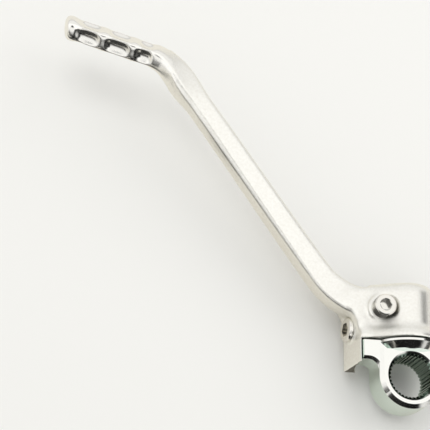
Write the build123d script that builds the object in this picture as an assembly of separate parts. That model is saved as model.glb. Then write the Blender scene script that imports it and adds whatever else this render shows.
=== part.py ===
from build123d import *
import os
from math import asin, cos, degrees, radians, sin, sqrt, tan

# Folding kick start lever. Sizes are in millimetres and angles in degrees.
# The origin is the middle of the splined bore, whose axis is Z.
# +Z points away from the engine, +Y goes up the pivot post, and the arm lies towards -X.
# The fold axis runs along Y, a little in front of the origin. Each piece is drawn about
# that axis and moved forward when it is written.

# How far a cut runs past the face it opens, and how close two heights are to be the same
cut_overrun = 1.0
same_height = 0.01

# Splined ring of the knuckle
spline_teeth = 36
spline_tip_radius = 9.6
spline_tooth_height = 0.8
spline_gap_share_at_tip = 0.6
spline_gap_share_at_root = 0.36
spline_lead_in = 1.8
ring_wall = 4.5
ring_width = 20.2
ring_setback = 1.1
ring_edge_chamfer = 1.8

# Knuckle head: the round disc and the ear that the lever turns on
parting_height = 16.0
disc_radius = 16.0
disc_thickness = 4.0
disc_rim_chamfer = 3.0
ear_reach = 23.2
ear_thickness = 15.0
ear_height = 8.7
ear_fillet = 5.0
ear_edge_chamfer = 1.3

# Pivot post
post_radius = 11.0
post_length = 21.5
post_top_chamfer = 0.8
running_clearance = 0.05
parting_gap = 0.9
post_end_gap = 0.3

# Lever head: barrel over the post, collar round its foot, and the web that the arm grows from
barrel_wall = 2.95
barrel_roof = 5.8
barrel_top_round = 5.0
collar_height = 4.3
collar_proud = 0.8
collar_edge_round = 0.8
web_front = 6.3
web_back = 10.1
web_edge_round = 1.4
web_saddle_reach = 21.5
web_saddle_drop = 2.4
web_shoulder_reach = 14.0
web_shoulder_drop = 0.8
gusset_reach = 18.0
side_front_reach = 23.3
side_back_reach = 27.0
side_arc_start = 19.2
side_arc_radius = 14.0
side_arc_turn = 53.0
root_grip_front = 9.0
root_grip_back = 1.0
root_grip_width = 7.0
lug_drop = 12.7
lug_foot_rise = 1.6
lug_clearance = 0.3

# Arm, from the barrel through the lower bend to the upper bend
root_reach = 9.0
root_height = 32.5
lower_bend_reach = 33.0
lower_bend_height = 36.0
lower_bend_radius = 34.0
arm_length = 135.7
arm_angle = 51.0
arm_rise = 16.5
upper_bend_radius = 20.0
twist_run = 22.0
stretch_steps = 5
arm_root_width = 15.6
arm_low_width = 11.4
arm_high_width = 9.8
arm_root_thickness = 12.4
arm_low_thickness = 11.4
arm_high_thickness = 10.8
arm_corner_round = 2.2
arm_low_facet = 1.0
arm_high_facet = 2.0
facet_round = 0.5
arm_side_draft = 4.0
bend_swell = 2.2

# Foot peg
peg_length = 48.9
peg_angle = 14.7
peg_side = 9.8
peg_corner_round = 1.7
peg_facet = 1.1
peg_twist = 38.0
lip_side = 11.0
lip_length = 5.6
lip_corner_round = 3.2
lip_end_round = 2.4
lip_back_round = 1.2
peg_faces = 4
pocket_count = 3
pocket_length = 12.2
pocket_width = 8.4
pocket_depth = 1.8
pocket_rib = 2.3
pocket_corner_round = 1.8
pocket_floor_round = 0.8
pocket_end_slope = 48.0
pocket_side_slope = 50.0

# Retaining screw, across the post
screw_radius = 3.0
screw_length = 16.0
screw_offset = 13.2
screw_height = 31.2
screw_head_radius = 5.0
screw_head_height = 6.0
screw_head_chamfer = 0.5
screw_head_clearance = 0.4
screw_socket_across = 5.0
screw_socket_depth = 3.2
screw_socket_lead_in = 0.4
screw_thread_clearance = 0.03
screw_boss_radius = 6.6
screw_recess_flare = 1.6
screw_recess_height = 5.0
screw_seat_wall = 0.5
groove_clearance = 0.2
groove_end_play = 1.5

# Ball detent
fold_angle = 90.0
detent_wall = 1.7
detent_setback = 3.6
detent_tilt = 8.0
ball_radius = 3.175
ball_bite = 1.0
ball_hole_clearance = 0.05
track_clearance = 0.3
dimple_depth = 0.5
plug_radius = 5.0
plug_length = 6.0
plug_thread_clearance = 0.03
plug_head_radius = 5.8
plug_head_height = 1.8
plug_head_round = 1.1
plug_head_clearance = 0.3
plug_socket_across = 6.0
plug_socket_depth = 3.5
plug_boss_radius = 6.4
plug_boss_height = 0.6
spring_wire = 0.7
spring_turns = 3.5
spring_side_gap = 0.3

# Dust ring round the foot of the post
dust_ring_section = 1.5
dust_ring_fit = 0.05
dust_ring_room = 0.3

# Worked out from the sizes above
spline_root_radius = spline_tip_radius + spline_tooth_height
ring_radius = spline_root_radius + ring_wall
disc_underside = parting_height - disc_thickness
post_top = parting_height + post_length
lever_foot = parting_height + parting_gap
bore_radius = post_radius + running_clearance
bore_top = post_top + post_end_gap
barrel_radius = bore_radius + barrel_wall
barrel_top = bore_top + barrel_roof
collar_radius = disc_radius
collar_top = lever_foot + collar_height
lug_inner_radius = ear_reach + lug_clearance
lug_foot = lever_foot - lug_drop
dust_room_radius = post_radius + dust_ring_fit + dust_ring_section + dust_ring_room
dust_room_top = parting_height + dust_ring_fit + dust_ring_section + dust_ring_room
ball_distance = post_radius + ball_radius - ball_bite
ball_hole_radius = ball_radius + ball_hole_clearance
detent_height = dust_room_top + ball_hole_radius + detent_wall
side_slope = (side_back_reach - side_front_reach) / (web_front + web_back)
plug_seat = side_front_reach + side_slope * (web_front + detent_setback) + plug_boss_height
plug_end = plug_seat - plug_length
detent_frame = Pos(-plug_seat, detent_height, -detent_setback) * Rot(0, detent_tilt, 0)
seat_along = plug_seat * cos(radians(detent_tilt)) - detent_setback * sin(radians(detent_tilt))
seat_aside = plug_seat * sin(radians(detent_tilt)) + detent_setback * cos(radians(detent_tilt))
ball_along = sqrt(ball_distance ** 2 - seat_aside ** 2)
ball_reach = plug_seat - seat_along + ball_along
detent_phase = detent_tilt - degrees(asin(seat_aside / ball_distance))
seat_edge = screw_offset - screw_head_radius - screw_head_clearance
screw_seat = sqrt(bore_radius ** 2 - seat_edge ** 2) + screw_seat_wall
groove_floor = screw_offset - screw_radius - groove_clearance


def upright(radius, low, high):
    """A cylinder about the fold axis."""
    return Pos(0, (low + high) / 2, 0) * Rot(90, 0, 0) * Cylinder(radius, high - low)


def sideways(radius, near, far):
    """A cylinder about the detent's axis, at the given distances towards the arm's side."""
    middle = detent_frame * Pos(plug_seat - (near + far) / 2, 0, 0)
    return middle * Rot(0, 90, 0) * Cylinder(radius, far - near)


def across(radius, low, high):
    """A cylinder about the retaining screw's axis."""
    return Pos(-screw_offset, screw_height, (low + high) / 2) * Cylinder(radius, high - low)


def swept_about_fold(profile, start, stop):
    """A profile in the XY plane on the arm's side, swept about the fold axis."""
    return Rot(0, start, 0) * revolve(profile, Axis.Y, stop - start)


# Knuckle
def spline_bore():
    pitch = 360 / spline_teeth
    tip_half = radians(pitch * spline_gap_share_at_tip / 2)
    root_half = radians(pitch * spline_gap_share_at_root / 2)
    inner = spline_tip_radius * cos(tip_half) - spline_tooth_height / 4
    gap = make_face(Polyline(
        (inner, -spline_tip_radius * sin(tip_half)),
        (spline_root_radius, -spline_root_radius * sin(root_half)),
        (spline_root_radius, spline_root_radius * sin(root_half)),
        (inner, spline_tip_radius * sin(tip_half)),
        close=True,
    ))
    outline = Circle(spline_tip_radius) + [Rot(0, 0, pitch * i) * gap for i in range(spline_teeth)]
    bore = extrude(outline, amount=ring_width / 2, both=True)
    mouth = Cone(spline_tip_radius, spline_tip_radius + spline_lead_in, spline_lead_in)
    front = Pos(0, 0, (ring_width - spline_lead_in) / 2) * mouth
    back = Rot(180, 0, 0) * front
    return Pos(0, 0, -ring_setback) * (bore + front + back)


def knuckle_ring():
    outline = Circle(ring_radius) + Pos(0, disc_underside / 2) * Rectangle(2 * ring_radius, disc_underside)
    ring = extrude(outline, amount=ring_width / 2, both=True)
    rims = ring.edges().filter_by(lambda e: abs(abs(e.center().Z) - ring_width / 2) < same_height)
    rims = rims.filter_by(lambda e: e.center().Y < disc_underside - same_height)
    return Pos(0, 0, -ring_setback) * chamfer(rims, ring_edge_chamfer)


def knuckle_disc():
    disc = upright(disc_radius, disc_underside, parting_height)
    lower_rim = disc.edges().filter_by(GeomType.CIRCLE).sort_by(Axis.Y)[0]
    return chamfer(lower_rim, disc_rim_chamfer)


def knuckle_ear():
    ear_foot = parting_height - ear_height
    corner = make_face([
        Line((0, parting_height), (-ear_reach, parting_height)),
        Line((-ear_reach, parting_height), (-ear_reach, ear_foot)),
        Line((-ear_reach, ear_foot), (-ring_radius - ear_fillet, ear_foot)),
        RadiusArc((-ring_radius - ear_fillet, ear_foot), (-ring_radius, ear_foot - ear_fillet), ear_fillet),
        Line((-ring_radius, ear_foot - ear_fillet), (0, ear_foot - ear_fillet)),
        Line((0, ear_foot - ear_fillet), (0, parting_height)),
    ])
    ear = extrude(corner, amount=ear_thickness / 2, both=True)
    under = ear.edges().filter_by(lambda e: abs(abs(e.center().Z) - ear_thickness / 2) < same_height)
    under = under.filter_by(lambda e: e.center().X < -ring_radius / 2)
    under = under.filter_by(lambda e: e.center().Y < parting_height - ear_fillet)
    under = under.filter_by(lambda e: e.center().X > -ear_reach + same_height)
    ear = chamfer(under, ear_edge_chamfer)
    return ear & upright(ear_reach, ear_foot - ear_fillet, parting_height)


def pivot_post():
    post = upright(post_radius, parting_height, post_top)
    post = chamfer(post.edges().filter_by(GeomType.CIRCLE).sort_by(Axis.Y)[-1], post_top_chamfer)
    half_groove = screw_radius + groove_clearance
    groove_width = post_radius - groove_floor + groove_clearance
    groove = Pos(-groove_floor - groove_width / 2, screw_height) * Rectangle(groove_width, 2 * half_groove)
    reach = screw_offset - screw_radius
    half_chord = Vector(reach, sqrt(post_radius ** 2 - reach ** 2)).get_angle(Vector(1, 0))
    spare = half_chord + groove_end_play
    post -= swept_about_fold(groove, -spare, fold_angle + spare)
    track_radius = ball_radius + track_clearance
    track = Pos(-ball_distance, detent_height) * Circle(track_radius)
    post -= swept_about_fold(track, detent_phase, detent_phase + fold_angle)
    for angle in (detent_phase, detent_phase + fold_angle):
        turn = Rot(0, angle, 0)
        post -= turn * Pos(-ball_distance, detent_height, 0) * Sphere(track_radius)
        post -= turn * Pos(-ball_distance + dimple_depth, detent_height, 0) * Sphere(track_radius)
    return post


def splined_knuckle():
    body = knuckle_ring() + knuckle_disc() + knuckle_ear() + pivot_post()
    return body - spline_bore()


# Lever
def arm_path():
    bend = Vector(-lower_bend_reach, lower_bend_height)
    top = bend + arm_length * Vector(-cos(radians(arm_angle)), sin(radians(arm_angle)))
    tip = top + peg_length * Vector(-cos(radians(peg_angle)), sin(radians(peg_angle)))
    root = Vector(-root_reach, root_height)
    return FilletPolyline(root, bend, top, tip, radius=[lower_bend_radius, upper_bend_radius])


def across_path(path, distance, lift):
    """The plane across the arm at a distance along its path. Its -X is the left side and -Y the front."""
    place = path.position_at(distance, position_mode=PositionMode.LENGTH)
    heading = path.tangent_at(distance, position_mode=PositionMode.LENGTH)
    outward = Vector(heading.Y, -heading.X, 0)
    return Plane(origin=place + Vector(0, 0, lift), x_dir=outward, z_dir=heading)


def section(plane, width, thickness, corner, facet, bulge, twist):
    """A forged section: drafted sides, rounded corners and a facet on the front left corner."""
    side = width / 2
    face = thickness / 2
    outline = make_face(Polyline(
        (side, face),
        (-side, face),
        (-side - bulge, 0),
        (-side, facet - face),
        (facet - side, -face),
        (side, -face),
        (side + bulge, 0),
        close=True,
    ))

    def on_square(v):
        return abs(abs(v.X) - side) + abs(abs(v.Y) - face) < same_height

    def on_facet(v):
        ends = abs(v.X + side) + abs(v.Y + face - facet), abs(v.X + side - facet) + abs(v.Y + face)
        return min(ends) < same_height

    outline = fillet(outline.vertices().filter_by(on_square), corner)
    outline = fillet(outline.vertices().filter_by(on_facet), facet_round)
    return plane * Rot(0, 0, twist) * outline


def eased(share):
    """A smooth step from 0 to 1."""
    share = min(max(share, 0), 1)
    return share * share * (3 - 2 * share)


def between(low, high, share):
    return low + (high - low) * min(max(share, 0), 1)


def arm():
    path = arm_path()
    root_run, lower_bend, straight, upper_bend, _ = [edge.length for edge in path.edges()]
    arm_start = root_run + lower_bend
    arm_end = arm_start + straight
    twist_start = arm_end - twist_run
    peg_start = arm_end + upper_bend

    def arm_section(distance):
        along = (distance - arm_start) / straight
        turned = eased((distance - twist_start) / (peg_start - twist_start))
        width = between(arm_low_width, arm_high_width, along)
        thickness = between(arm_low_thickness, arm_high_thickness, along)
        corner = between(arm_corner_round, peg_corner_round, turned)
        if distance < arm_start:
            width = between(arm_root_width, arm_low_width, distance / arm_start)
            thickness = between(arm_root_thickness, arm_low_thickness, distance / arm_start)
        width = between(width, peg_side, turned)
        thickness = between(thickness, peg_side, turned)
        facet = between(arm_low_facet, arm_high_facet, along)
        facet = between(facet, peg_facet, turned)
        bulge = thickness / 2 * tan(radians(arm_side_draft)) * (1 - turned)
        width = width + bend_swell * 4 * turned * (1 - turned)
        lift = arm_rise * eased((distance - root_run) / (peg_start - root_run))
        plane = across_path(path, distance, lift)
        return section(plane, width, thickness, corner, facet, bulge, peg_twist * turned)

    def stretch(start, stop):
        step = (stop - start) / stretch_steps
        return loft([arm_section(start + step * i) for i in range(stretch_steps + 1)])

    lower = stretch(0, arm_start)
    shaft = stretch(arm_start, twist_start)
    upper = stretch(twist_start, peg_start)
    return lower + shaft + upper + foot_peg(path, peg_start)


def pocket_outline(length, width, corner, skew):
    """A rounded pocket outline whose end walls lean by the given share of its width."""
    lean = skew * width / 2
    outline = make_face(Polyline(
        (-length / 2 - lean, -width / 2),
        (length / 2 - lean, -width / 2),
        (length / 2 + lean, width / 2),
        (-length / 2 + lean, width / 2),
        close=True,
    ))
    return fillet(outline.vertices(), corner)


def pocket(skew):
    """A scooped pocket, open at its own XY plane and sunk along +Z."""
    floor_length = pocket_length - 2 * pocket_depth * tan(radians(pocket_end_slope))
    floor_width = pocket_width - 2 * pocket_depth * tan(radians(pocket_side_slope))
    mouth = pocket_outline(pocket_length, pocket_width, pocket_corner_round, skew)
    floor = pocket_outline(floor_length, floor_width, pocket_floor_round, skew)
    return loft([mouth, Pos(0, 0, pocket_depth) * floor], ruled=True)


def foot_peg(path, peg_start):
    tip = path @ 1 + Vector(0, 0, arm_rise)
    heading = path.tangent_at(1)
    root = across_path(path, peg_start, arm_rise)
    root = section(root, peg_side, peg_side, peg_corner_round, peg_facet, 0, peg_twist)
    shank = extrude(root, amount=path.length - peg_start - lip_length / 2)
    lip = across_path(path, path.length - 2 * lip_length, arm_rise)
    lip = lip * Rot(0, 0, peg_twist) * RectangleRounded(lip_side, lip_side, lip_corner_round)
    lip = extrude(lip, amount=3 * lip_length)
    lip &= Pos(tip.X + lip_length / 2, tip.Y, tip.Z) * Box(lip_length, 3 * lip_side, 3 * lip_side)
    lip = fillet(lip.faces().sort_by(Axis.X)[0].edges(), lip_end_round)
    lip = fillet(lip.faces().sort_by(Axis.X)[-1].edges(), lip_back_round)
    peg = shank + lip
    outward = Vector(heading.Y, -heading.X, 0)
    for step in range(pocket_count):
        back = lip_length + pocket_length / 2 + step * (pocket_length + pocket_rib)
        place = tip - heading * back
        for side in range(peg_faces):
            facing = outward.rotate(Axis((0, 0, 0), heading), peg_twist + side * 360 / peg_faces)
            face = Plane(origin=place + facing * (peg_side / 2), x_dir=heading, z_dir=-facing)
            peg -= face * pocket(-face.y_dir.X / heading.X)
    return peg


def drafted(outline_at, front, back):
    """A slab whose outline follows the drafted left side between two distances from the fold axis."""
    near = Pos(0, 0, front) * outline_at(side_front_reach - side_slope * (front - web_front))
    far = Pos(0, 0, -back) * outline_at(side_back_reach + side_slope * (back - web_back))
    return loft([near, far], ruled=True)


def web_outline(reach):
    share = (reach - side_front_reach) / (side_back_reach - side_front_reach)
    grip = between(root_grip_front, root_grip_back, share)
    turn = radians(side_arc_turn)
    arc_start = Vector(-reach, side_arc_start)
    arc_end = Vector(-side_front_reach, side_arc_start) + side_arc_radius * Vector(cos(turn) - 1, sin(turn))
    along = Vector(-sin(turn), cos(turn))
    root_end = arc_end + grip * along
    root_top = root_end + root_grip_width * Vector(along.Y, -along.X)
    saddle = Vector(-web_saddle_reach, barrel_top - web_saddle_drop)
    shoulder = Vector(-web_shoulder_reach, barrel_top - web_shoulder_drop)
    return make_face([
        Line((0, lever_foot), (-reach, lever_foot)),
        Line((-reach, lever_foot), arc_start),
        TangentArc(arc_start, arc_end, tangent=(0, 1)),
        Line(arc_end, root_end),
        Line(root_end, root_top),
        Line(root_top, saddle),
        Line(saddle, shoulder),
        Line(shoulder, (0, shoulder.Y)),
        Line((0, shoulder.Y), (0, lever_foot)),
    ])


def collar_outline(reach):
    return make_face(Polyline(
        (0, lever_foot), (-reach, lever_foot), (-reach, collar_top), (0, collar_top), close=True,
    ))


def lug_outline(reach):
    """The stop lug beside the knuckle's ear, whose foot rises towards the front."""
    inner = ear_reach - ear_fillet
    share = (reach - side_front_reach) / (side_back_reach - side_front_reach)
    foot = lug_foot + between(lug_foot_rise, 0, share)
    return make_face(Polyline(
        (-inner, foot), (-reach, foot), (-reach, collar_top), (-inner, collar_top), close=True,
    ))


def teardrop(radius, reach, high, edge_round):
    """A drum round the fold axis, drawn out to the web's front at the given reach, with a rounded top."""
    ends = Line((-reach, -web_front), (-reach, web_front))
    plan = make_hull(Circle(radius).edges() + [ends])
    floor = Plane(origin=(0, lever_foot, 0), x_dir=(1, 0, 0), z_dir=(0, 1, 0))
    drum = extrude(floor * plan, amount=high - lever_foot)
    rim = drum.faces().sort_by(Axis.Y)[-1].edges().filter_by(lambda e: e.center().X > -reach + same_height)
    return fillet(rim, edge_round)


def lever_head():
    barrel = teardrop(barrel_radius, gusset_reach, barrel_top, barrel_top_round)
    collar = teardrop(collar_radius, side_front_reach - collar_edge_round, collar_top, collar_edge_round)
    web = drafted(web_outline, web_front, web_back)
    web = fillet(web.faces().sort_by(Axis.Z)[-1].edges(), web_edge_round)
    band = drafted(collar_outline, web_front + collar_proud, web_back)
    lug = drafted(lug_outline, web_front, web_back)
    lug -= upright(lug_inner_radius, lug_foot - cut_overrun, lever_foot)
    screw_boss = across(screw_boss_radius, 0, screw_seat)
    plug_boss = sideways(plug_boss_radius, plug_end, plug_seat)
    plug_boss -= upright(lug_inner_radius, lug_foot, lever_foot)
    return barrel + collar + web + band + lug + screw_boss + plug_boss


def lever_arm():
    lever = lever_head() + arm()
    lever -= upright(bore_radius, lever_foot - cut_overrun, bore_top)
    lever -= upright(dust_room_radius, lever_foot - cut_overrun, dust_room_top)
    recess_radius = screw_head_radius + screw_head_clearance
    recess = Cone(recess_radius, recess_radius + screw_recess_flare, screw_recess_height)
    lever -= Pos(-screw_offset, screw_height, screw_seat + screw_recess_height / 2) * recess
    shank_room = screw_radius + screw_thread_clearance
    lever -= across(shank_room, -barrel_radius, screw_seat + cut_overrun)
    lever -= sideways(ball_hole_radius, 0, plug_end)
    lever -= sideways(plug_radius + plug_thread_clearance, plug_end, plug_seat + cut_overrun)
    lever -= sideways(plug_head_radius + plug_head_clearance, plug_seat, plug_seat + 2 * plug_head_radius)
    return lever


# Screw, plug, ball, spring and dust ring
def retaining_screw():
    head = across(screw_head_radius, screw_seat, screw_seat + screw_head_height)
    head = chamfer(head.edges().filter_by(GeomType.CIRCLE).sort_by(Axis.Z)[-1], screw_head_chamfer)
    shank = across(screw_radius, screw_seat - screw_length, screw_seat)
    shank = chamfer(shank.edges().filter_by(GeomType.CIRCLE).sort_by(Axis.Z)[0], screw_head_chamfer)
    socket = RegularPolygon(screw_socket_across / 2, 6, major_radius=False)
    socket = extrude(socket, amount=screw_socket_depth)
    top = screw_seat + screw_head_height
    corner = screw_socket_across / 2 / cos(radians(30))
    mouth = Cone(corner - screw_socket_lead_in, corner + screw_socket_lead_in, 2 * screw_socket_lead_in)
    axis = Pos(-screw_offset, screw_height, 0)
    return head + shank - axis * Pos(0, 0, top - screw_socket_depth) * socket - axis * Pos(0, 0, top) * mouth


def detent_plug():
    head = sideways(plug_head_radius, plug_seat, plug_seat + plug_head_height)
    head = fillet(head.edges().filter_by(GeomType.CIRCLE).sort_by(Axis.X)[0], plug_head_round)
    thread = sideways(plug_radius, plug_end, plug_seat)
    socket = extrude(RegularPolygon(plug_socket_across / 2, 6, major_radius=False), amount=plug_socket_depth)
    return head + thread - detent_frame * Pos(-plug_head_height, 0, 0) * Rot(0, 90, 0) * socket


def detent_ball():
    return detent_frame * Pos(plug_seat - ball_reach, 0, 0) * Sphere(ball_radius)


def detent_spring():
    near = ball_reach + ball_radius + spring_wire / 2
    length = plug_end - near - spring_wire / 2
    coil_radius = ball_radius - spring_side_gap - spring_wire / 2
    coil = Helix(pitch=length / spring_turns, height=length, radius=coil_radius)
    wire = Plane(origin=coil @ 0, z_dir=coil % 0) * Circle(spring_wire / 2)
    spring = sweep(wire, path=coil, is_frenet=True)
    return detent_frame * Pos(plug_seat - near, 0, 0) * Rot(0, -90, 0) * spring


def dust_ring():
    distance = post_radius + dust_ring_fit + dust_ring_section / 2
    height = parting_height + dust_ring_fit + dust_ring_section / 2
    return Pos(0, height, 0) * Rot(90, 0, 0) * Torus(distance, dust_ring_section / 2)


pieces = {
    "splined_knuckle": splined_knuckle,
    "lever_arm": lever_arm,
    "retaining_screw": retaining_screw,
    "detent_plug": detent_plug,
    "detent_ball": detent_ball,
    "detent_spring": detent_spring,
    "dust_ring": dust_ring,
}

os.makedirs("parts", exist_ok=True)
for name, make in pieces.items():
    export_step(Pos(0, 0, ring_setback) * make(), f"parts/{name}.step")
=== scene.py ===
from math import cos, radians, sin

import bmesh
import bpy
from mathutils import Matrix, Vector


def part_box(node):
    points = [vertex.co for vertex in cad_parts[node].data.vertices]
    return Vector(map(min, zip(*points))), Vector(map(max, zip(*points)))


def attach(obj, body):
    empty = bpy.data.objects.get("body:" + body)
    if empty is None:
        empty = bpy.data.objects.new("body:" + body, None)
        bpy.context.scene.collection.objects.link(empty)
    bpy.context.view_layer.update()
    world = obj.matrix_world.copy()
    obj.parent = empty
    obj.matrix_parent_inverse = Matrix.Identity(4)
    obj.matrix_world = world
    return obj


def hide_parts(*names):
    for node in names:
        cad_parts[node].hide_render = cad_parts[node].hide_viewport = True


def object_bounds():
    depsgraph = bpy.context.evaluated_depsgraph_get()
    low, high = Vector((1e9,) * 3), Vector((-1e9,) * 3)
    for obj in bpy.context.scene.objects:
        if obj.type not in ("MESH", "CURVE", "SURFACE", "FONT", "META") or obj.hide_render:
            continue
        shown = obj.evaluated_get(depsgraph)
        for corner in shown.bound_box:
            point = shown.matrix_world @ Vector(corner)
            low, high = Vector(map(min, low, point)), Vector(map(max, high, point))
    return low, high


# Folding kick start lever: a satin plated forging on a bright zinc plated knuckle, lying on a white table.
# Lengths are in metres unless a name says otherwise.

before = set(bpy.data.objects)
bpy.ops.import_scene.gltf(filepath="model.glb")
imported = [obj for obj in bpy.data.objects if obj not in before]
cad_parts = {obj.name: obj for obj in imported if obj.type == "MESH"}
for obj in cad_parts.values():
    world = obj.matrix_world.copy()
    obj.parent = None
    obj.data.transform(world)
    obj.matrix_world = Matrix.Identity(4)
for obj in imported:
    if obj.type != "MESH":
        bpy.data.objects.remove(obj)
cad_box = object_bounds()
mm = 0.001

# The photograph's frame and where the lever is in it
frame_pixels = 430
focal_pixels = 1524
bore_front_pixel = Vector((412.5, 375.5))
bore_front_height = 10.1 * mm
post_lean = radians(1.7)
eye_distance = 0.7
eye_direction = Vector((-0.307, -0.23, 0.923)).normalized()
sensor_mm = 36
nearest_seen = 0.01

# Forging: how finely it is meshed, and how much each part of it is rounded
merge_distance = 0.001 * mm
forging_voxel = 0.46 * mm
smooth_factor = 0.5
forging_smooth_steps = 5
peg_edge = -0.116
peg_smooth_steps = 110
lip_edge = -0.1565
lip_smooth_steps = 50
head_edge = -0.03
head_bore = 12.8 * mm
head_foot = 19 * mm
head_smooth_steps = 30
ledge_top = 26 * mm
ledge_edge = -0.024
ledge_smooth_steps = 110
fold_axis_height = 1.1 * mm

# The peg's polish, which starts at the bend
polish_start = -0.105
polish_full = -0.128

# The corner under the screw, which polishing doesn't reach
dull_corner = Vector((-13 * mm, 22 * mm, 13 * mm))
dull_corner_reach = 10 * mm

# The underside of the stop lug, darkened by painted shade: its height, and how far a face there looks down
lug_foot = 8 * mm
lug_fade = 2 * mm
underside_shade_full = -0.9
underside_shade_end = -0.6

# Inside of the splined bore, where shade is painted dark
bore_dark_radius = 10.5 * mm
bore_fade = 0.6 * mm

# How far a face of the knuckle looks to the front where it turns from the painted shade of the sides to
# white
front_facing_start = 0.25
front_facing_full = 0.6

# How far a face of the screw looks to the front where it is an end, and upwards where the painted shade
# stops
screw_end_start = 0.25
screw_end_full = 0.75
screw_shade_full = -0.5
screw_shade_end = 0.0

# Knurl round the screw head
screw_axis = Vector((-13.2 * mm, 31.2 * mm, 0))
knurl_ribs = 40
knurl_radius = 5.0 * mm
knurl_rib = Vector((0.24 * mm, 0.3 * mm, 4.4 * mm))
knurl_foot = 0.6 * mm

# Table. In front of the lever, and before the peg, a painted dark reflection makes it look dark to the
# metal.
table_half_width = 4.0
table_colour = "#F4F4F1"
# Painted reflection tones: the table as the metal mirrors it, warmer than it is
table_mirrored_colour = "#EFECE3"
# Painted dark reflection, which only the metal sees
table_painted_dark_reflection = "#1C1C1A"
table_roughness = 0.7
table_gloss = 0.2
table_front_edge = -0.05
table_front_fade = 0.03
table_peg_front = 0.078
table_peg_side = -0.125
table_lip_side = -0.31
table_peg_fade = 0.02

# The lamps, which light only the table: direction, width and power
lamp_distance = 1.5
lamps = {
    "overhead": (Vector((-0.32, 0.34, 0.88)).normalized(), 0.9, 4.6),
    "window": (Vector((0.6, 0.36, 0.71)).normalized(), 1.6, 6.2),
}
ambient_light = 0.69
white_light = "#FFFEFC"

# What the metal mirrors: a bright room that dims a little towards the back and low down
bright_light = 1.15
back_light = 0.93
back_start = 0.28
back_full = 0.38
low_light = 0.75
low_full = 0.05
low_end = 0.35
scattered_share = 0.1

# The dark half of that room, in front: the way it faces, its edges, and how high it reaches
dark_front = Vector((0.515, -0.857, 0))
dark_front_start = 0.08
dark_front_full = 0.22
dark_front_right = 0.45
dark_front_right_end = 0.7
dark_front_light = 0.01
dark_front_top = 0.4
dark_front_top_end = 0.52

# Smaller dark places in it: direction, inner and outer angle, and the share of light left there
dark_places = (
    (Vector((-0.2, -0.5, 0.84)).normalized(), radians(12), radians(20), 0.05),
    (Vector((0.86, 0.23, 0.45)).normalized(), radians(10), radians(17), 0.03),
)

# A white card in front of the peg, which only the metal mirrors
card_left = -0.42
card_right = -0.1
card_front = -0.07
card_foot = 0.045
card_fade = 0.06
card_top = 0.3

# The setting that makes a change from one level to another a smooth one
smoothly = {"interpolation_type": "SMOOTHSTEP"}


def linear(hex_colour):
    """An sRGB hex colour as linear light."""
    shares = [int(hex_colour[i:i + 2], 16) / 255 for i in (1, 3, 5)]
    return [s / 12.92 if s <= 0.04045 else ((s + 0.055) / 1.055) ** 2.4 for s in shares] + [1.0]


def add(tree, kind, inputs=None, **settings):
    """Adds a node. Each input is a plain value, or the socket that feeds it."""
    node = tree.nodes.new(kind)
    for name, value in settings.items():
        setattr(node, name, value)
    for socket, value in (inputs or {}).items():
        if isinstance(value, bpy.types.NodeSocket):
            tree.links.new(value, node.inputs[socket])
        else:
            node.inputs[socket].default_value = value
    return node


def span(value, low, high, at_low, at_high):
    """The inputs of a change from one level to another between two values."""
    return {"Value": value, "From Min": low, "From Max": high, "To Min": at_low, "To Max": at_high}


def new_material(name):
    """A material with an empty shader tree, and that tree."""
    material = bpy.data.materials.new(name)
    material.use_nodes = True
    material.node_tree.nodes.clear()
    return material, material.node_tree


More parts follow.
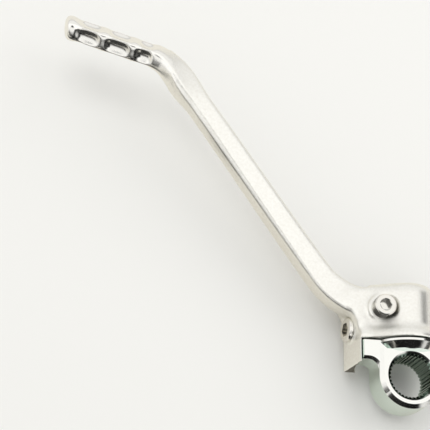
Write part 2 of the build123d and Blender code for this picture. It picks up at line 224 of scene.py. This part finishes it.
# Materials
def satin_nickel():
    """Satin nickel plate over a blasted forging: a soft, slightly warm sheen, nearly a mirror on the peg.

    The specks and pits of the blasting are drawn coarser than they are, so that they show.
    """
    speck_size = 1.1 * mm
    pit_size = 0.5 * mm
    pit_depth = 0.2 * mm
    pit_strength = 0.3
    cloud_size = 9 * mm
    satin_low = 0.27
    satin_high = 0.37
    polished_roughness = 0.17
    dull_roughness = 0.6
    dark_speck = linear("#EBE9E2")
    bright_speck = linear("#FDFDF9")
    polished_colour = linear("#F5F4F0")
    # Painted shade for the underside of the stop lug
    underside_shade_colour = linear("#6A675E")

    material, tree = new_material("satin_nickel_plate")
    seat = add(tree, "ShaderNodeTexCoord").outputs
    place = seat["Object"]
    split = add(tree, "ShaderNodeSeparateXYZ", {"Vector": place}).outputs
    polish = add(
        tree, "ShaderNodeMapRange", span(split["X"], polish_start, polish_full, 0.0, 1.0), **smoothly
    ).outputs["Result"]

    cloud = add(tree, "ShaderNodeTexNoise", {"Vector": place, "Scale": 1 / cloud_size, "Detail": 3.0})
    satin = add(tree, "ShaderNodeMapRange", span(cloud.outputs["Fac"], 0.0, 1.0, satin_low, satin_high))
    worn = add(tree, "ShaderNodeMix", {
        "Factor": polish, "A": satin.outputs["Result"], "B": polished_roughness,
    })
    from_corner = add(tree, "ShaderNodeVectorMath", {0: place, 1: dull_corner}, operation="DISTANCE")
    corner = add(
        tree, "ShaderNodeMapRange",
        span(from_corner.outputs["Value"], dull_corner_reach / 2, dull_corner_reach, 1.0, 0.0), **smoothly
    ).outputs["Result"]
    rough = add(tree, "ShaderNodeMix", {"Factor": corner, "A": worn.outputs["Result"], "B": dull_roughness})

    speck = add(tree, "ShaderNodeTexNoise", {"Vector": place, "Scale": 1 / speck_size, "Detail": 2.0})
    blasted = add(tree, "ShaderNodeMix", {
        "Factor": speck.outputs["Fac"], "A": dark_speck, "B": bright_speck,
    }, data_type="RGBA")
    plated = add(tree, "ShaderNodeMix", {
        "Factor": polish, "A": blasted.outputs["Result"], "B": polished_colour,
    }, data_type="RGBA")
    facing = add(tree, "ShaderNodeSeparateXYZ", {"Vector": seat["Normal"]}).outputs
    # Painted shade: faces below the lug's foot that look down take the dark colour
    not_down = add(
        tree, "ShaderNodeMapRange", span(facing["Y"], underside_shade_full, underside_shade_end, 0.0, 1.0), **smoothly
    )
    above_foot = add(
        tree, "ShaderNodeMapRange", span(split["Y"], lug_foot, lug_foot + lug_fade, 0.0, 1.0), **smoothly
    )
    unshaded = add(tree, "ShaderNodeMath", {
        0: not_down.outputs["Result"], 1: above_foot.outputs["Result"],
    }, operation="MAXIMUM")
    tone = add(tree, "ShaderNodeMix", {
        "Factor": unshaded.outputs["Value"], "A": underside_shade_colour, "B": plated.outputs["Result"],
    }, data_type="RGBA")

    pits = add(tree, "ShaderNodeTexNoise", {"Vector": place, "Scale": 1 / pit_size, "Detail": 2.0})
    strength = add(tree, "ShaderNodeMix", {"Factor": polish, "A": pit_strength, "B": 0.0})
    bump = add(tree, "ShaderNodeBump", {
        "Strength": strength.outputs["Result"], "Distance": pit_depth, "Height": pits.outputs["Fac"],
    })
    surface = add(tree, "ShaderNodeBsdfPrincipled", {
        "Base Color": tone.outputs["Result"], "Metallic": 1.0,
        "Roughness": rough.outputs["Result"], "Normal": bump.outputs["Normal"],
    })
    add(tree, "ShaderNodeOutputMaterial", {"Surface": surface.outputs["BSDF"]})
    return material


def zinc_plate():
    """Bright zinc plate: white in front, with painted shade making it cool grey green round the sides and
    dark in the bore.

    The ripple of the plate is drawn coarser than it is, so that it shows.
    """
    ripple_size = 1.6 * mm
    ripple_depth = 0.2 * mm
    ripple_strength = 0.12
    cloud_size = 5 * mm
    rough_low = 0.08
    rough_high = 0.17
    # Painted shaded reflection: the sides are tinted darker and greener than the front
    side_shade_colour = linear("#DFEDE7")
    front_colour = linear("#EEEEEA")
    # Painted shade inside the splined bore
    bore_shade_colour = linear("#87998E")
    across_bore = (1.0, 1.0, 0.0)

    material, tree = new_material("bright_zinc_plate")
    seat = add(tree, "ShaderNodeTexCoord").outputs
    place = seat["Object"]
    cloud = add(tree, "ShaderNodeTexNoise", {"Vector": place, "Scale": 1 / cloud_size, "Detail": 4.0})
    rough = add(tree, "ShaderNodeMapRange", span(cloud.outputs["Fac"], 0.0, 1.0, rough_low, rough_high))
    facing = add(tree, "ShaderNodeSeparateXYZ", {"Vector": seat["Normal"]}).outputs
    front_facing = add(
        tree, "ShaderNodeMapRange", span(facing["Z"], front_facing_start, front_facing_full, 0.0, 1.0), **smoothly
    )
    plated = add(tree, "ShaderNodeMix", {
        "Factor": front_facing.outputs["Result"], "A": side_shade_colour, "B": front_colour,
    }, data_type="RGBA")
    flat = add(tree, "ShaderNodeVectorMath", {0: place, 1: across_bore}, operation="MULTIPLY")
    radius = add(tree, "ShaderNodeVectorMath", {0: flat.outputs["Vector"]}, operation="LENGTH")
    outside = add(
        tree, "ShaderNodeMapRange",
        span(radius.outputs["Value"], bore_dark_radius, bore_dark_radius + bore_fade, 0.0, 1.0), **smoothly
    )
    tone = add(tree, "ShaderNodeMix", {
        "Factor": outside.outputs["Result"], "A": bore_shade_colour, "B": plated.outputs["Result"],
    }, data_type="RGBA")
    ripple = add(tree, "ShaderNodeTexNoise", {"Vector": place, "Scale": 1 / ripple_size, "Detail": 1.0})
    bump = add(tree, "ShaderNodeBump", {
        "Strength": ripple_strength, "Distance": ripple_depth, "Height": ripple.outputs["Fac"],
    })
    surface = add(tree, "ShaderNodeBsdfPrincipled", {
        "Base Color": tone.outputs["Result"], "Metallic": 1.0,
        "Roughness": rough.outputs["Result"], "Normal": bump.outputs["Normal"],
    })
    add(tree, "ShaderNodeOutputMaterial", {"Surface": surface.outputs["BSDF"]})
    return material


def plain_metal(name, colour, rough_low, rough_high):
    """A turned or drawn steel piece whose shine varies a little over it."""
    cloud_size = 3 * mm
    material, tree = new_material(name)
    place = add(tree, "ShaderNodeTexCoord").outputs["Object"]
    cloud = add(tree, "ShaderNodeTexNoise", {"Vector": place, "Scale": 1 / cloud_size, "Detail": 3.0})
    rough = add(tree, "ShaderNodeMapRange", span(cloud.outputs["Fac"], 0.0, 1.0, rough_low, rough_high))
    surface = add(tree, "ShaderNodeBsdfPrincipled", {
        "Base Color": linear(colour), "Metallic": 1.0, "Roughness": rough.outputs["Result"],
    })
    add(tree, "ShaderNodeOutputMaterial", {"Surface": surface.outputs["BSDF"]})
    return material


def screw_steel():
    """Zinc plated screw steel: bright, with painted shade dark on the lower side."""
    cloud_size = 2 * mm
    rough_low = 0.12
    rough_high = 0.24
    # Painted shade for the screw's sides that face down
    screw_shade_colour = linear("#2E2C26")
    bright_colour = linear("#E9E7E1")

    material, tree = new_material("screw_steel_painted_shade")
    seat = add(tree, "ShaderNodeTexCoord").outputs
    place = seat["Object"]
    cloud = add(tree, "ShaderNodeTexNoise", {"Vector": place, "Scale": 1 / cloud_size, "Detail": 3.0})
    rough = add(tree, "ShaderNodeMapRange", span(cloud.outputs["Fac"], 0.0, 1.0, rough_low, rough_high))
    facing = add(tree, "ShaderNodeSeparateXYZ", {"Vector": seat["Normal"]}).outputs
    end = add(
        tree, "ShaderNodeMapRange", span(facing["Z"], screw_end_start, screw_end_full, 0.0, 1.0), **smoothly
    )
    upper = add(tree, "ShaderNodeMapRange", span(facing["Y"], screw_shade_full, screw_shade_end, 0.0, 1.0), **smoothly)
    unshaded = add(tree, "ShaderNodeMath", {
        0: end.outputs["Result"], 1: upper.outputs["Result"],
    }, operation="MAXIMUM")
    tone = add(tree, "ShaderNodeMix", {
        "Factor": unshaded.outputs["Value"], "A": screw_shade_colour, "B": bright_colour,
    }, data_type="RGBA")
    surface = add(tree, "ShaderNodeBsdfPrincipled", {
        "Base Color": tone.outputs["Result"], "Metallic": 1.0, "Roughness": rough.outputs["Result"],
    })
    add(tree, "ShaderNodeOutputMaterial", {"Surface": surface.outputs["BSDF"]})
    return material


def nitrile():
    """Moulded nitrile rubber: black, with a dull even skin."""
    grain_size = 0.4 * mm
    rough_low = 0.5
    rough_high = 0.7
    material, tree = new_material("moulded_nitrile")
    place = add(tree, "ShaderNodeTexCoord").outputs["Object"]
    grain = add(tree, "ShaderNodeTexNoise", {"Vector": place, "Scale": 1 / grain_size, "Detail": 2.0})
    rough = add(tree, "ShaderNodeMapRange", span(grain.outputs["Fac"], 0.0, 1.0, rough_low, rough_high))
    surface = add(tree, "ShaderNodeBsdfPrincipled", {
        "Base Color": linear("#191918"), "Roughness": rough.outputs["Result"],
    })
    add(tree, "ShaderNodeOutputMaterial", {"Surface": surface.outputs["BSDF"]})
    return material


# Pieces
def merged_copy(node, name):
    """A copy of a CAD node's mesh with its loose triangles joined."""
    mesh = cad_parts[node].data.copy()
    mesh.name = name
    mesh.materials.clear()
    work = bmesh.new()
    work.from_mesh(mesh)
    bmesh.ops.remove_doubles(work, verts=work.verts, dist=merge_distance)
    work.to_mesh(mesh)
    work.free()
    piece = bpy.data.objects.new(name, mesh)
    bpy.context.scene.collection.objects.link(piece)
    return piece


def baked(piece):
    """Turns a piece's modifiers into a plain mesh."""
    graph = bpy.context.evaluated_depsgraph_get()
    mesh = bpy.data.meshes.new_from_object(piece.evaluated_get(graph))
    piece.modifiers.clear()
    piece.data = mesh
    return piece


def soften(piece, holds, steps):
    """Rounds the part of a piece where a test on the place holds."""
    region = piece.vertex_groups.new(name="region")
    region.add([v.index for v in piece.data.vertices if holds(v.co)], 1.0, "REPLACE")
    smooth = piece.modifiers.new("soften", "SMOOTH")
    smooth.factor = smooth_factor
    smooth.iterations = steps
    smooth.vertex_group = region.name
    baked(piece)
    piece.vertex_groups.clear()


def on_head(place):
    """Whether a place is on the outside of the lever's head, clear of its bore and of the stop lug."""
    from_axis = Vector((place.x, place.z - fold_axis_height)).length
    return place.x > head_edge and place.y > head_foot and from_axis > head_bore


def on_ledge(place):
    """Whether a place is on the front of the head where it steps out to its collar."""
    return on_head(place) and place.y < ledge_top and place.x > ledge_edge and place.z > 0


def forged_lever(material):
    """The lever with the soft blends and edges of a forging."""
    piece = merged_copy("lever_arm", "forged_lever")
    remesh = piece.modifiers.new("blend", "REMESH")
    remesh.mode = "VOXEL"
    remesh.voxel_size = forging_voxel
    smooth = piece.modifiers.new("soften", "SMOOTH")
    smooth.factor = smooth_factor
    smooth.iterations = forging_smooth_steps
    baked(piece)
    soften(piece, lambda place: place.x < peg_edge, peg_smooth_steps)
    soften(piece, lambda place: place.x < lip_edge, lip_smooth_steps)
    soften(piece, on_head, head_smooth_steps)
    soften(piece, on_ledge, ledge_smooth_steps)
    piece.data.polygons.foreach_set("use_smooth", [True] * len(piece.data.polygons))
    piece.data.materials.append(material)
    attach(piece, "lever")
    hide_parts("lever_arm")


def knurl(material):
    """Fine straight ribs round the screw's head, set out by a node group."""
    tree = bpy.data.node_groups.new("knurl", "GeometryNodeTree")
    tree.interface.new_socket("Geometry", in_out="OUTPUT", socket_type="NodeSocketGeometry")
    sizes = {
        "Ribs": ("NodeSocketInt", knurl_ribs),
        "Radius": ("NodeSocketFloat", knurl_radius),
        "Rib size": ("NodeSocketVector", knurl_rib),
    }
    inputs = {
        name: tree.interface.new_socket(name, in_out="INPUT", socket_type=kind).identifier
        for name, (kind, value) in sizes.items()
    }
    given = add(tree, "NodeGroupInput").outputs
    round_head = add(tree, "GeometryNodeMeshCircle", {"Vertices": given["Ribs"], "Radius": given["Radius"]})
    rib = add(tree, "GeometryNodeMeshCube", {"Size": given["Rib size"]})
    place = add(tree, "GeometryNodeInputPosition").outputs["Position"]
    turn = add(tree, "FunctionNodeAlignRotationToVector", {"Vector": place}, axis="X")
    ring = add(tree, "GeometryNodeInstanceOnPoints", {
        "Points": round_head.outputs["Mesh"],
        "Instance": rib.outputs["Mesh"],
        "Rotation": turn.outputs["Rotation"],
    })
    solid = add(tree, "GeometryNodeRealizeInstances", {"Geometry": ring.outputs["Instances"]})
    plated = add(tree, "GeometryNodeSetMaterial", {
        "Geometry": solid.outputs["Geometry"], "Material": material,
    })
    add(tree, "NodeGroupOutput", {"Geometry": plated.outputs["Geometry"]})

    mesh = bpy.data.meshes.new("screw_head_knurl")
    piece = bpy.data.objects.new("screw_head_knurl", mesh)
    bpy.context.scene.collection.objects.link(piece)
    modifier = piece.modifiers.new("knurl", "NODES")
    modifier.node_group = tree
    for name, (kind, value) in sizes.items():
        modifier[inputs[name]] = value
    baked(piece)
    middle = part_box("retaining_screw")[1].z - knurl_foot - knurl_rib.z / 2
    piece.data.transform(Matrix.Translation(screw_axis + Vector((0, 0, middle))))
    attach(piece, "lever")


def dress(node, material):
    """Gives a CAD node its finish."""
    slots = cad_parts[node].data.materials
    slots.clear()
    slots.append(material)


# Table, light and camera
def white_table():
    """A sheet of matt white plastic: even and shadowless but for the lever's soft shade, with a painted
    dark reflection in front of the lever and before the peg that only the metal sees.
    """
    material, tree = new_material("white_table")
    place = add(tree, "ShaderNodeTexCoord").outputs["Object"]
    across = add(tree, "ShaderNodeSeparateXYZ", {"Vector": place}).outputs
    near = add(
        tree, "ShaderNodeMapRange",
        span(across["Y"], table_front_edge - table_front_fade, table_front_edge, 0.0, 1.0), **smoothly
    )
    behind_peg = add(
        tree, "ShaderNodeMapRange",
        span(across["Y"], table_peg_front, table_peg_front + table_peg_fade, 0.0, 1.0), **smoothly
    )
    right_of_peg = add(
        tree, "ShaderNodeMapRange",
        span(across["X"], table_peg_side, table_peg_side + table_peg_fade, 0.0, 1.0), **smoothly
    )
    left_of_lip = add(
        tree, "ShaderNodeMapRange",
        span(across["X"], table_lip_side, table_lip_side + table_peg_fade, 1.0, 0.0), **smoothly
    )
    clear = add(tree, "ShaderNodeMath", {
        0: behind_peg.outputs["Result"], 1: right_of_peg.outputs["Result"],
    }, operation="MAXIMUM")
    bright = add(tree, "ShaderNodeMath", {
        0: near.outputs["Result"], 1: clear.outputs["Value"],
    }, operation="MULTIPLY")
    white = add(tree, "ShaderNodeMath", {
        0: bright.outputs["Value"], 1: left_of_lip.outputs["Result"],
    }, operation="MAXIMUM")
    reflected = add(tree, "ShaderNodeMix", {
        "Factor": white.outputs["Value"],
        "A": linear(table_painted_dark_reflection),
        "B": linear(table_mirrored_colour),
    }, data_type="RGBA")
    mirrored = add(tree, "ShaderNodeLightPath").outputs["Is Glossy Ray"]
    tone = add(tree, "ShaderNodeMix", {
        "Factor": mirrored, "A": linear(table_colour), "B": reflected.outputs["Result"],
    }, data_type="RGBA")
    surface = add(tree, "ShaderNodeBsdfPrincipled", {
        "Base Color": tone.outputs["Result"],
        "Roughness": table_roughness,
        "Specular IOR Level": table_gloss,
    })
    add(tree, "ShaderNodeOutputMaterial", {"Surface": surface.outputs["BSDF"]})
    return material


def stage_sheet(name, corners, material):
    """A flat four cornered sheet that belongs to the stage."""
    mesh = bpy.data.meshes.new(name)
    mesh.from_pydata(corners, [], [(0, 1, 2, 3)])
    mesh.materials.append(material)
    sheet = bpy.data.objects.new(name, mesh)
    bpy.context.scene.collection.objects.link(sheet)
    return sheet


def table():
    """The table the lever lies on."""
    height = cad_box[0].z
    quarters = ((-1, -1), (1, -1), (1, 1), (-1, 1))
    corners = [(x * table_half_width, y * table_half_width, height) for x, y in quarters]
    stage_sheet("table", corners, white_table())


def glowing_card():
    """A photographer's white card that glows by itself, its light painted to fade to dark at its foot."""
    material, tree = new_material("glowing_white_card")
    place = add(tree, "ShaderNodeTexCoord").outputs["Object"]
    height = add(tree, "ShaderNodeSeparateXYZ", {"Vector": place}).outputs["Z"]
    # Painted fall-off of the card's own glow, dark at its foot
    strength = add(
        tree, "ShaderNodeMapRange", span(height, card_foot, card_foot + card_fade, 0.0, 1.0), **smoothly
    )
    surface = add(tree, "ShaderNodeEmission", {
        "Color": linear(white_light), "Strength": strength.outputs["Result"],
    })
    add(tree, "ShaderNodeOutputMaterial", {"Surface": surface.outputs["Emission"]})
    return material


def white_card():
    """The card that whitens the upper half of the peg's ribs."""
    sides = ((card_left, card_foot), (card_right, card_foot), (card_right, card_top), (card_left, card_top))
    card = stage_sheet("card", [(x, card_front, z) for x, z in sides], glowing_card())
    card.visible_camera = False
    card.visible_diffuse = False
    card.visible_shadow = False


def lamp(name, direction, width, power):
    """A round soft lamp that the metal doesn't mirror."""
    data = bpy.data.lights.new(name, "AREA")
    data.shape = "DISK"
    data.size = width
    data.energy = power
    light = bpy.data.objects.new(name, data)
    light.location = direction * lamp_distance
    light.rotation_euler = direction.to_track_quat("Z", "Y").to_euler()
    light.visible_glossy = False
    bpy.context.scene.collection.objects.link(light)


def studio():
    """A bright room, dark low down in front, with the photographer above that and a dark lamp edge.

    That is what the metal mirrors. The table gets an even light instead, and the camera sees white.
    """
    world = bpy.data.worlds.new("studio")
    bpy.context.scene.world = world
    world.use_nodes = True
    world.cycles.sampling_method = "NONE"
    tree = world.node_tree
    tree.nodes.clear()
    toward = add(tree, "ShaderNodeTexCoord").outputs["Generated"]
    axes = add(tree, "ShaderNodeSeparateXYZ", {"Vector": toward}).outputs
    path = add(tree, "ShaderNodeLightPath").outputs

    forward = add(tree, "ShaderNodeVectorMath", {0: toward, 1: dark_front}, operation="DOT_PRODUCT")
    dark_edges = (
        span(forward.outputs["Value"], dark_front_start, dark_front_full, 0.0, 1.0),
        span(axes["Z"], dark_front_top, dark_front_top_end, 1.0, 0.0),
        span(axes["X"], dark_front_right, dark_front_right_end, 1.0, 0.0),
    )
    dark = 1.0
    for edge in dark_edges:
        inside = add(tree, "ShaderNodeMapRange", edge, **smoothly).outputs["Result"]
        dark = add(tree, "ShaderNodeMath", {0: dark, 1: inside}, operation="MULTIPLY").outputs["Value"]

    shares = [
        span(dark, 0.0, 1.0, 1.0, dark_front_light),
        span(axes["Z"], low_full, low_end, low_light, 1.0),
        span(path["Diffuse Depth"], 0.0, 1.0, 1.0, scattered_share),
    ]
    for direction, inner, outer, left in dark_places:
        near = add(tree, "ShaderNodeVectorMath", {0: toward, 1: direction}, operation="DOT_PRODUCT")
        shares.append(span(near.outputs["Value"], cos(outer), cos(inner), 1.0, left))
    room = add(
        tree, "ShaderNodeMapRange",
        span(axes["Y"], back_start, back_full, bright_light, back_light), **smoothly
    ).outputs["Result"]
    for share in shares:
        part = add(tree, "ShaderNodeMapRange", share, **smoothly).outputs["Result"]
        room = add(tree, "ShaderNodeMath", {0: room, 1: part}, operation="MULTIPLY").outputs["Value"]

    lit = add(tree, "ShaderNodeMix", {"Factor": path["Is Glossy Ray"], "A": ambient_light, "B": room})
    strength = add(tree, "ShaderNodeMix", {
        "Factor": path["Is Camera Ray"], "A": lit.outputs["Result"], "B": 1.0,
    })
    sky = add(tree, "ShaderNodeBackground", {
        "Color": linear(white_light), "Strength": strength.outputs["Result"],
    })
    add(tree, "ShaderNodeOutputWorld", {"Surface": sky.outputs["Background"]})


def basis(along, up):
    """The rows of a turn from one direction, and a second one that sets the upward side."""
    along = along.normalized()
    up = (up - along * up.dot(along)).normalized()
    return Matrix((along, up, along.cross(up)))


def photo_camera():
    """The photograph's camera: the bore's front is at its pixel, and the post leans as it does there."""
    target = Vector((0, 0, bore_front_height))
    eye = target + eye_distance * eye_direction
    middle = frame_pixels / 2
    to_right = (bore_front_pixel.x - middle) / focal_pixels
    to_top = (middle - bore_front_pixel.y) / focal_pixels
    in_part = basis(target - eye, Vector((0, 1, 0)))
    in_camera = basis(Vector((to_right, to_top, -1)), Vector((-sin(post_lean), cos(post_lean), 0)))
    turn = in_part.transposed() @ in_camera
    data = bpy.data.cameras.new("photo_camera")
    data.sensor_width = sensor_mm
    data.lens = focal_pixels / frame_pixels * sensor_mm
    data.clip_start = nearest_seen
    camera = bpy.data.objects.new("photo_camera", data)
    camera.matrix_world = Matrix.Translation(eye) @ turn.to_4x4()
    bpy.context.scene.collection.objects.link(camera)
    bpy.context.scene.camera = camera


forged_lever(satin_nickel())
dress("splined_knuckle", zinc_plate())
screw_finish = screw_steel()
dress("retaining_screw", screw_finish)
knurl(screw_finish)
dress("detent_plug", plain_metal("polished_plug_steel", "#E9E7E1", 0.08, 0.16))
dress("detent_ball", plain_metal("polished_ball_steel", "#C9C9CB", 0.05, 0.1))
dress("detent_spring", plain_metal("drawn_spring_wire", "#8E8E90", 0.3, 0.4))
dress("dust_ring", nitrile())

table()
for name, (direction, width, power) in lamps.items():
    lamp(name, direction, width, power)
white_card()
studio()
photo_camera()
bpy.context.scene.view_settings.view_transform = "Standard"
